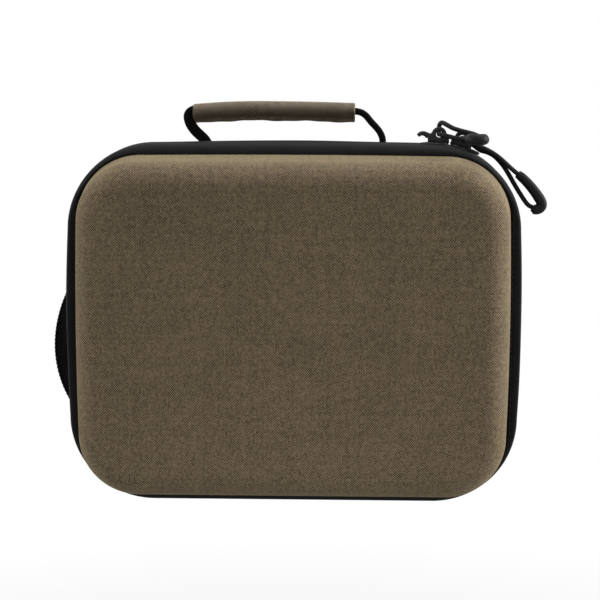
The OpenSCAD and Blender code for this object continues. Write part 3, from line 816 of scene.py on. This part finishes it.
def zip_guard():
    """Dust flap behind the zip: a flat strip with a rounded free edge, sewn to the rim of the rear half's
    tray and reaching over the parting plane."""
    depth, half_t, free = 8.0 * MM, 0.3 * MM, -4.5 * MM
    edge = arc(free, -depth, half_t, 90, 270, 7)
    section = np.vstack([(LINING_FOOT, half_t - depth), edge, (LINING_FOOT, -half_t - depth)])[:, ::-1]
    return zip_strip(section, REAR, 400)


def zip_coil(side):
    """One row of coil: a wire wound in a flat helix along the tape, so that its line goes round an ellipse
    once in each pitch."""
    pitch, wire, bare_end = 1.5 * MM, 0.28 * MM, 2 * MM
    turns = int((CREST.end - CREST.start - 2 * bare_end) / pitch)
    t = np.linspace(0, turns, turns * 12)
    s = CREST.start + bare_end + t * pitch
    out = -COIL_DEPTH - COIL_H / 2 + (COIL_H / 2 - wire) * np.sin(2 * np.pi * t)
    y = TAPE_LOW[1] + COIL_W / 2 + (COIL_W / 2 - wire) * np.cos(2 * np.pi * t)
    path = CREST.carry(s, out[:, None], side * y[:, None])
    heading = unit(np.gradient(path[:, 0], axis=0))
    _, normal = CREST.at(s)
    first = unit(np.cross(heading, np.cross(normal, BACK)))
    second = np.cross(heading, first)
    ring = oval(wire, wire, 5)
    points = path + ring[:, :1] * first[:, None] + ring[:, 1:] * second[:, None]
    return Shape().closed_tube(points, lengths(path[:, 0]), np.linspace(0, 6 * wire, 6))


HINGE_HALF_X = CREST.start - SOFT_GAP


def hinge_cloth():
    """Cloth hinge: one strip along the bottom edge. From one flange it runs down to the tapes' level, across
    the hinge line and up to the other flange, with rounded folds and a slight wave along its length."""
    fold, r = TAPE_HIGH[1] - TAPE_T / 2, 1.0 * MM
    level, root = TAPE_DEPTH + TAPE_T / 2, TAPE_ROOT
    rise = np.array([(fold, root), (fold, (root + level) / 2)])
    turn = arc(fold - r, level + r, r, 0, -90, 6)
    flat = np.stack([np.linspace(fold - r, 0, 10)[1:], np.full(9, level)], -1)
    half = np.vstack([rise, turn, flat])
    line = np.vstack([half, half[-2::-1] * (-1, 1)])
    to_face = left_normal(line) * TAPE_T / 2
    ring = np.vstack([line + to_face, (line - to_face)[::-1]])
    x = np.linspace(-HINGE_HALF_X, HINGE_HALF_X, 90)
    sag = 0.15 * MM * np.cos(x / HINGE_HALF_X * np.pi * 3.5)
    points = np.stack(np.broadcast_arrays(x[:, None], ring[:, 0], ring[:, 1] + sag[:, None]), -1)
    shape = Shape().grid(points, uv_map(x, girth(ring)), TUBE)
    n = len(line)
    for end in (0, -1):
        cap = np.stack([points[end, :n], points[end, n:][::-1]])
        shape.grid(cap, np.zeros((2, n, 2)))
    return shape


for side, half in HALVES.items():
    body = BODIES[side]
    canvas = shell_skin(SKIN, side, 0, CANVAS_T, SKIN_FOOT, CANVAS_UNEVEN, 1)
    lining = shell_skin(SHELL, side, LINING_INSET, LINING_T, LINING_FOOT, LINING_UNEVEN, 0)
    dress(canvas, f"{half}_canvas_skin", CANVAS, body, "canvas", f"{half}_canvas")
    dress(lining, f"{half}_lining_skin", LINING, body, "lining", f"{half}_lining")
    dress(binding_bead(side), f"{half}_binding_bead", BINDING, body, "binding", f"{half}_binding")
    dress(binding_stitches(side), f"{half}_binding_stitches", THREAD, body, "binding")
    dress(zip_tape(side), f"{half}_zip_tape_strip", TAPE, body, "tape", f"{half}_zip_tape")
    dress(zip_coil(side), f"{half}_zip_coil_wire", COIL, body, "coil", f"{half}_zip_coil")
    shell = frame["nodes"][f"{half}_shell"]
    shell.data.materials.clear()
    shell.data.materials.append(FOAM)

dress(zip_guard(), "rear_zip_guard", TAPE, BODIES[REAR], "tape")
hinge = clothe(hinge_cloth(), "hinge_cloth", TAPE, "tape", "front_hinge_tape", "rear_hinge_tape")
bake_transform(hinge)


# Handle

def sleeve_section():
    """The sleeve's section as (Y, Z) steps from its axis: a round roll, open at the bottom, where its two
    edges are sewn together into a flat lip."""
    roll = arc(0, 0, 1, -81, 261, 60) * (4.8 * MM, 4.1 * MM) + (0, 1.5 * MM)
    lip = np.array([(-0.6, -2.9), (-0.75, -3.8), (-0.9, -4.8), (-0.5, -5.3), (0.5, -5.3), (0.9, -4.8),
                    (0.75, -3.8), (0.6, -2.9)]) * MM
    ring = smooth_route(np.vstack([roll[-3:], lip, roll[:3]]), 3)[6:-6]
    return np.vstack([roll[2:-2], ring])


def handle_sleeve():
    """Canvas sleeve: its section carried along X. The roll is highest a little to the left of its middle and
    droops as a parabola to both ends, where its edge turns in. The lip is slightly uneven."""
    left_droop, right_droop, top_at, edge_in = 1.9 * MM, 0.9 * MM, 0.42, 0.6 * MM
    hem = np.array([0.0, 0.45, 0.74, 0.8, 0.88, 0.96])
    hem_in = np.array([3.3, 3.2, 2.4, 0.8, 0.0, 0.15]) * MM
    run = np.linspace(SLEEVE_X0 + edge_in, SLEEVE_X1 - edge_in, 110)
    x = np.concatenate([SLEEVE_X0 + hem_in, run, (SLEEVE_X1 - hem_in)[::-1]])
    scale = np.concatenate([hem, np.ones(len(run)), hem[::-1]])[:, None]
    t = np.clip((x - SLEEVE_X0) / (SLEEVE_X1 - SLEEVE_X0), 0, 1)[:, None]
    left, right = np.clip(1 - t / top_at, 0, 1), np.clip((t - top_at) / (1 - top_at), 0, 1)
    droop = left_droop * left ** 2 + right_droop * right ** 2
    section = sleeve_section()
    hang = np.clip(-section[:, 1] / (4 * MM) - 0.6, 0, 1)
    creep = 0.3 * MM * np.sin(t * 19 + 0.7) + 0.15 * MM * np.sin(t * 47)
    slack = 0.15 * MM * np.sin(t * 33)
    y = HANDLE_AXIS[1] + section[:, 0] * scale + slack
    z = SLEEVE_Z + section[:, 1] * scale - droop + creep * hang
    points = np.stack(np.broadcast_arrays(x[:, None], y, z), -1)
    return Shape().grid(points, uv_map(x, girth(section)), TUBE)


def strap_route():
    """The strap's line in X and Z, in parts of its rise from the hinge line to the sleeve's middle."""
    x0, x1, low, high, span = SLEEVE_X0, SLEEVE_X1, HANDLE_AXIS[2], SLEEVE_Z, HANDLE_HALF_SPAN
    rise = high - low
    return np.array([
        (-span, low), (-span - 0.1 * rise, low + 0.18 * rise), (-span - 0.4 * rise, low + 0.48 * rise),
        (x0 - 0.1 * rise, high - 0.31 * rise), (x0 - 0.12 * rise, high - 0.12 * rise),
        (x0 + 0.02 * rise, high), (x1 + 0.05 * rise, high), (x1 + 0.26 * rise, high - 0.08 * rise),
        (span - 0.32 * rise, high - 0.29 * rise), (span - 0.09 * rise, high - 0.55 * rise),
        (span, low + 0.25 * rise), (span, low),
    ])


def handle_strap():
    """Strap: a flat webbing section carried along its route. It shows its width on the left and turns on edge
    to the right, inside the sleeve."""
    line = smooth_route(strap_route(), 10)
    path = np.stack([line[:, 0], np.full(len(line), HANDLE_AXIS[1]), line[:, 1]], -1)
    turn = ease(np.clip((line[:, 0] - SLEEVE_X0) / (SLEEVE_X1 - SLEEVE_X0), 0, 1))
    half_deep, half_wide = (1.3 + 0.9 * turn) * MM, (3.0 - 1.1 * turn) * MM
    ring = oval(1, 1, 20, 3.2) * np.stack([half_deep, half_wide], -1)[:, None]
    return Shape().tube(path, ring, BACK)


# Levels of a strap tab: the share of its outline that is kept, and its steps up and forward in millimetres
TAB_LEVELS = [(0, 0, 0), (0.9, 0, 0), (1, 0.3, 0), (0.96, 0.75, 0), (0.85, 1, 0), (0.62, 1.1, 0.6),
              (0.5, 1.9, 1.2), (0.38, 2.5, 1.8), (0, 2.7, 2.0)]


def strap_tabs():
    """Tabs that hold the strap's ends: two folded patches on the top of the rear shell, which lean with it.
    Each is a boxy oval, shrunk and moved at each level, and its crown meets the strap."""
    share, height, forward = np.array(TAB_LEVELS).T[..., None]
    flat = share[..., None] * oval(7 * MM, 4.2 * MM, 48, 4)
    middle_y, lift = BINDING_Y1 + 4.4 * MM, 0.35 * MM
    shell_top = MIDDLE[2] + SHELL_H / 2 - (middle_y - SKIN_FOOT) * math.tan(LEAN)
    y = middle_y + flat[..., 1] - forward * MM
    z = shell_top + lift + height * MM - flat[..., 1] * math.tan(LEAN)
    uv = np.concatenate([flat, flat[:, :1]], 1)
    shape = Shape()
    for x in (-HANDLE_HALF_SPAN, HANDLE_HALF_SPAN):
        shape.grid(np.stack([x + flat[..., 0], y, z], -1), uv, TUBE)
    return shape


sleeve = dress(handle_sleeve(), "handle_canvas_sleeve", SLEEVE_CANVAS, "handle", "canvas", "handle_sleeve",
               "handle_core")
dress(handle_strap(), "handle_webbing_strap", WEBBING, "handle", "webbing", "handle_strap")
tabs = clothe(strap_tabs(), "handle_strap_tabs", WEBBING, "webbing")
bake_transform(tabs)


# Grab loop

def loop_frame():
    """The place where the grab loop is sewn on, and its outward and widthwise directions, which lean with the
    shell's side."""
    y = BINDING_Y1 + SOFT_GAP
    place = np.array([(y - SKIN_FOOT) * math.tan(LEAN) - SHELL_W / 2 - SOFT_GAP, y, LOOP_Z])
    outward = np.array([-math.cos(LEAN), math.sin(LEAN), 0])
    return place, outward, np.array([math.sin(LEAN), math.cos(LEAN), 0])


def loop_line(count, tab_count):
    """The loop's inner line as (bulge, height): a sine over the free length, whose middle is drawn downwards
    by raising the position to a power, with a flat tab at each end."""
    t = np.linspace(0, 1, count)
    bulge = LOOP_BULGE * np.sin(np.pi * t ** LOOP_SAG).clip(0) ** LOOP_FULLNESS
    free = np.stack([bulge, LOOP_LENGTH / 2 - LOOP_LENGTH * t], -1)
    end = LOOP_LENGTH / 2 + LOOP_TAB * np.arange(1, tab_count + 1) / tab_count
    tab = np.stack([0 * end, end], -1)
    return np.vstack([tab[::-1], free, -tab])


def grab_loop():
    """Grab loop: a ribbed band along the loop's line. Each rib is a half sine that swells both faces and the
    two edges. The bulge is smaller towards the rear, so the band is a little twisted."""
    rib_pitch, twist = 2.3 * MM, 0.18
    line = smooth_route(loop_line(40, 14), 8)
    along = lengths(line)
    rib = np.abs(np.sin(along * np.pi / rib_pitch))
    ring = oval(LOOP_T / 2, LOOP_W / 2, 36, 9)
    section = ring * np.stack([0.72 + 0.28 * rib, 0.975 + 0.025 * rib], -1)[:, None]
    flat = line[:, None] + (section[..., :1] + LOOP_T / 2) * left_normal(line)[:, None]
    across = section[..., 1:] + LOOP_W / 2
    place, outward, wide = loop_frame()
    twisted = flat[..., :1] * (1 - twist * across / LOOP_W)
    points = place + twisted * outward + across * wide + flat[..., 1:] * UP
    return Shape().closed_tube(points, along, girth(ring))


def loop_bartacks():
    """Bar tacks: rows of stitches across each sewn end of the grab loop."""
    length, width = 1.7 * MM, 0.6 * MM
    place, outward, wide = loop_frame()
    across = np.linspace(0.08, 0.92, 11) * LOOP_W
    heights = LOOP_LENGTH / 2 + np.array([0.25, 0.75]) * LOOP_TAB
    w, h = (grid.reshape(-1, 1) for grid in np.meshgrid(across, np.concatenate([heights, -heights])))
    middle = place + outward * LOOP_T + w * wide + h * UP
    return stitch_row(middle, 0 * middle + wide, 0 * middle + outward, length, width)


dress(grab_loop(), "grab_loop_webbing", WEBBING, "rear_half", "webbing", "grab_loop")
dress(loop_bartacks(), "grab_loop_bartacks", THREAD, "rear_half", "webbing")


# Sliders and pulls

# Edges of a crown's foot: the direction in degrees that each one faces, and its distance from the hole
CROWN_EDGES = {270: 4.9 * MM, 4.7: 5.2 * MM, 64.2: 1.9 * MM, 139.4: 3.87 * MM, 180: 6.3 * MM}

# Levels of a slider's plates: the share of the outline that is kept, and the height in millimetres
UPPER_LEVELS = [(0, 0.3), (0.94, 0.3), (1, 0.5), (1, 1.5), (0.94, 1.8), (0.8, 2.1), (0.5, 2.5), (0, 2.7)]
LOWER_LEVELS = [(0, -3.8), (0.94, -3.8), (1, -4.0), (1, -5.1), (0.94, -5.3), (0, -5.3)]
POST_LEVELS = [(0, -4.0), (1, -4.0), (1, 0.5), (0, 0.5)]
LIP_LEVELS = [(0, -4.0), (1, -4.0), (1, -1.3), (0.9, -1.12), (0, -1.12)]


def crown_radius(angle):
    """Outline of a crown about its hole, as a radius at each angle: the larger of a circle and a
    straight-sided foot, whose edges are lines at a distance along their own outward direction."""
    least_facing, far = 0.01, 1.0
    facing = np.cos(angle[:, None] - np.radians(list(CROWN_EDGES)))
    reach = np.array(list(CROWN_EDGES.values())) / np.maximum(facing, least_facing)
    return np.maximum(np.where(facing > least_facing, reach, far).min(1), CROWN_HOLE_R + CROWN_T)


def slider_crown():
    """Crown: a plate with rounded edges round its hole. At each angle its section runs from the hole to the
    outline and back on the other face."""
    angle = np.linspace(0, 2 * np.pi, 160, endpoint=False)[:, None]
    outline = crown_radius(angle[:, 0])[:, None]
    edge, half_w = np.array([0.4, 0.12, 0.0]) * MM, CROWN_W / 2
    up = np.concatenate([edge, edge[::-1]])
    y = np.concatenate([half_w - edge[::-1], edge - half_w])
    y = np.concatenate([y, y[::-1]])
    radius = np.concatenate([outline - up, np.broadcast_to(CROWN_HOLE_R + up, (len(angle), len(up)))], 1)
    turned = (radius * np.cos(angle), y, radius * np.sin(angle) + CROWN_RISE)
    uv = uv_map(np.append(angle, 2 * np.pi) * CROWN_HOLE_R, np.append(y, y[0]))
    return np.stack(np.broadcast_arrays(*turned), -1), uv


def slider(crown, angle, nose):
    """Zip slider: two shield-shaped plates with rounded rims, the upper one with a tail, joined by a post at
    the nose and a lip at the rear; and a crown, which sends a thin hooked finger back over the tail."""
    shape = Shape()

    def place(points):
        """Points of a slider that lies flat, moved to where this one is."""
        s, v, n = points[..., 0] * nose, points[..., 1], points[..., 2] - CROWN_RISE
        turned = [s * math.cos(angle) + n * math.sin(angle), v, n * math.cos(angle) - s * math.sin(angle)]
        return crown + np.stack(turned, -1)

    def shield(side):
        """A smooth closed outline from the points of one of its sides."""
        outline = np.vstack([side, side[::-1] * (1, -1)])
        return smooth_route(np.vstack([outline[-2:], outline, outline[:2]]), 6)[12:-12]

    def plate(outline, levels, middle=(0, 0)):
        """An outline, shrunk towards its middle by each level's share, at that level's height."""
        shares, heights = np.array(levels).T[..., None, None]
        flat = shares * outline
        points = np.concatenate([flat + middle, np.broadcast_to(heights * MM, flat.shape[:2] + (1,))], -1)
        shape.grid(place(points), np.concatenate([flat, flat[:, :1]], 1), TUBE)

    def bar(route, steps, half_w, thick_half_t, thin_half_t):
        """A boxy bar along a route in millimetres from the crown's hole, which grows thinner."""
        line = smooth_route(np.array(route) * MM, steps)
        path = np.stack([line[:, 0], 0 * line[:, 0], line[:, 1] + CROWN_RISE], -1)
        half_t = np.linspace(thick_half_t, thin_half_t, len(line))
        shape.tube(path, oval(1, 1, 14, 3.0) * np.stack([half_w + 0 * half_t, half_t], -1)[:, None], BACK)
        shape.points[-1] = place(shape.points[-1])

    half_l, half_w = SLIDER_LENGTH / 2, SLIDER_W / 2
    side = np.array([(-1, 0.62), (-0.2, 0.9), (0.5, 1), (0.94, 0.8), (1.13, 0.4)]) * (half_l, half_w)
    long_side = np.vstack([(-half_l - SLIDER_TAIL, 0.42 * half_w), side])
    post = np.array([(-1.5, 0), (0, -0.32), (1.15, -0.3), (1.35, 0), (1.15, 0.3), (0, 0.32)]) * MM
    lip = oval(2.0 * MM, 0.24 * MM, 24, 5)
    plate(shield(long_side), UPPER_LEVELS)
    plate(shield(side), LOWER_LEVELS)
    plate(post, POST_LEVELS, (2.7 * MM, 0))
    plate(lip, LIP_LEVELS, (1.13 * MM, 3.33 * MM))
    points, uv = slider_crown()
    shape.grid(place(points), uv, (True, True))
    finger = [(-5.3, -1.1), (-6.9, -0.3), (-8.7, 0.45), (-10.4, 0.2), (-11.8, -0.8)]
    barb = [(-6.6, -0.4), (-7.1, -1.2), (-7.3, -2.0)]
    bar(finger, 6, 0.8 * MM, 1.6 * MM, 1.0 * MM)
    bar(barb, 4, 0.74 * MM, 0.7 * MM, 0.45 * MM)
    return shape


def pull_cord(crown, route):
    """Pull cord: a round section carried along the smooth line through its route. Gives shape and line."""
    path = crown + smooth_route(np.array(route) * MM, 7)
    return Shape().tube(path, oval(CORD_D / 2, CORD_D / 2, 14), (0.3, 0.2, 1)), path


def pull_grip(crown, route):
    """Moulded grip: a round section that swells from a collar at the cord to a fuller hook at its other end,
    with a step where the collar ends and rounded tips."""
    path = crown + smooth_route(np.array(route) * MM, 9)
    t = lengths(path) / lengths(path)[-1]
    body = 0.96 + 0.14 * np.clip((t - 0.1) / 0.5, 0, 1)
    collar = np.where(t < 0.07, 0.92, 1.0) * np.where(t > 0.95, 0.8, 1.0)
    tips = np.clip(np.minimum(t, 1 - t) / 0.02, 0, 1) ** 0.5 * 0.25 + 0.75
    return Shape().tube(path, oval(GRIP_D / 2, GRIP_D / 2, 20, 2.3), (0.1, 1, 0.1), body * collar * tips)


def turn_of(crown):
    """The angle that a crown has turned about the corner's axis."""
    away = crown - CORNER_AXIS
    return math.atan2(away[0], away[2])


PULLS = {
    "left": (LEFT_CROWN, 0.0, 1, LEFT_CORD_ROUTE, LEFT_GRIP_ROUTE),
    "right": (RIGHT_CROWN, turn_of(RIGHT_CROWN), -1, RIGHT_CORD_ROUTE, RIGHT_GRIP_ROUTE),
}
for name, (crown, angle, nose, cord_route, grip_route) in PULLS.items():
    slider_body, pull_body = f"{name}_slider_body", f"{name}_pull"
    casting, hook = slider(crown, angle, nose), pull_grip(crown, grip_route)
    loop, line = pull_cord(crown, cord_route)
    dress(casting, f"{name}_slider_casting", SLIDER, slider_body, "slider", f"{name}_slider")
    grip = dress(hook, f"{name}_grip_hook", GRIP, pull_body, "grip", f"{name}_pull_grip")
    cord = dress(loop, f"{name}_pull_loop", CORD, pull_body, "cord", f"{name}_pull_cord")


# Stage, light and camera

FLOOR_Z, FLOOR_HALF = -0.22, 4.0
FADE_FROM, FADE_OVER = 0.35, 0.35
ROOM_LIGHT = 0.14
PHOTO_SCALE = 0.5614 * MM
PHOTO_SIZE = 600
PHOTO_MIDDLE_X, PHOTO_BOTTOM_Y = 294, 499
SENSOR_MM = 36.0
CAMERA_AWAY = 1.0
CAMERA_RISE_DEG, CAMERA_RIGHT_DEG, CAMERA_ROLL_DEG = 8.5, 1.5, 0.2

# Each lamp's place, the point that it faces, its size in metres and its power in watts
LAMPS = {
    "top_box": ((0.15, 0.0, 1.25), (0, 0, 0.1), 1.0, 11.5),
    "right_box": ((1.1, 0.0, 0.45), (0, 0, 0.1), 0.8, 18),
    "left_box": ((-1.1, -0.1, 0.4), (0, 0, 0.1), 0.6, 8),
    "front_box": ((0.2, -1.3, 0.8), (0, 0, 0.1), 0.8, 1.1),
    "low_box": ((0.0, -0.32, -0.12), (0, 0, 0.03), 0.3, 0.38),
}


def add_to_scene(name, data):
    """A new object in the scene."""
    thing = bpy.data.objects.new(name, data)
    bpy.context.scene.collection.objects.link(thing)
    return thing


def pale_floor():
    """A wide pale floor below the lid's lowest reach. The camera sees it almost white, with the object's soft
    shadow, and fading to plain white with distance."""
    near_white = 0.825
    mesh = bpy.data.meshes.new("floor")
    corners = [(x * FLOOR_HALF, y * FLOOR_HALF, FLOOR_Z) for x, y in ((-1, -1), (1, -1), (1, 1), (-1, 1))]
    mesh.from_pydata(corners, [], [(0, 1, 2, 3)])
    finish = Finish("floor_white", Roughness=0.9, Base_Color=rgb(0.2, 0.2, 0.2), Specular_IOR_Level=0.0)
    white = finish.node("ShaderNodeEmission", values={"Color": rgb(1, 1, 1), "Strength": 1.0})
    diffuse = Flow(finish, finish.shader.outputs[0])
    away = finish.node("ShaderNodeVectorMath", {"operation": "LENGTH"}, {0: finish.place()}, output="Value")
    fade = ((away - FADE_FROM) / FADE_OVER).share()
    share = finish.seen() * (fade * (1 - near_white) + near_white)
    shown = finish.node("ShaderNodeMixShader", values={0: share, 1: diffuse, 2: white})
    finish.fill(finish.tree.nodes["Material Output"], "Surface", shown)
    mesh.materials.append(finish.material)
    add_to_scene("floor", mesh)


def white_world(strength):
    """A white background for what the camera sees, and an even dimmer light for what the object gets."""
    world = bpy.data.worlds.new("white_room")
    bpy.context.scene.world = world
    world.use_nodes = True
    nodes = Nodes(world.node_tree)
    background = nodes.tree.nodes["Background"]
    level = nodes.node("ShaderNodeMix", values={0: nodes.seen(), 2: strength, 3: 1.0})
    nodes.fill(background, "Strength", level)
    nodes.fill(background, "Color", rgb(1, 1, 1))


def soft_box(name, place, aim, size, watts):
    """A square studio lamp that faces a point."""
    lamp = bpy.data.lights.new(name, "AREA")
    lamp.size, lamp.energy = size, watts
    thing = add_to_scene(name, lamp)
    thing.location = place
    thing.visible_camera = False
    thing.rotation_euler = (Vector(aim) - Vector(place)).to_track_quat("-Z", "Y").to_euler()


def photo_camera():
    """The camera of the photograph: it looks at the picture's middle from a little above and to the right,
    with the lens that gives one pixel of the parting plane its measured size."""
    right_of_middle, above_bottom = PHOTO_SIZE / 2 - PHOTO_MIDDLE_X, PHOTO_BOTTOM_Y - PHOTO_SIZE / 2
    aim = Vector((right_of_middle * PHOTO_SCALE, 0, above_bottom * PHOTO_SCALE))
    rise, right = math.radians(CAMERA_RISE_DEG), math.radians(CAMERA_RIGHT_DEG)
    away = Vector((math.sin(right) * math.cos(rise), -math.cos(right) * math.cos(rise), math.sin(rise)))
    roll = Quaternion((0, 0, 1), math.radians(CAMERA_ROLL_DEG))
    camera = bpy.data.cameras.new("photo_camera")
    camera.sensor_width = SENSOR_MM
    camera.lens = CAMERA_AWAY / (PHOTO_SIZE * PHOTO_SCALE) * SENSOR_MM
    thing = add_to_scene("photo_camera", camera)
    thing.location = aim + CAMERA_AWAY * away
    thing.rotation_euler = ((-away).to_track_quat("-Z", "Y") @ roll).to_euler()
    bpy.context.scene.camera = thing


pale_floor()
white_world(ROOM_LIGHT)
for name, lamp in LAMPS.items():
    soft_box(name, *lamp)
photo_camera()
bpy.context.scene.view_settings.view_transform = "Standard"
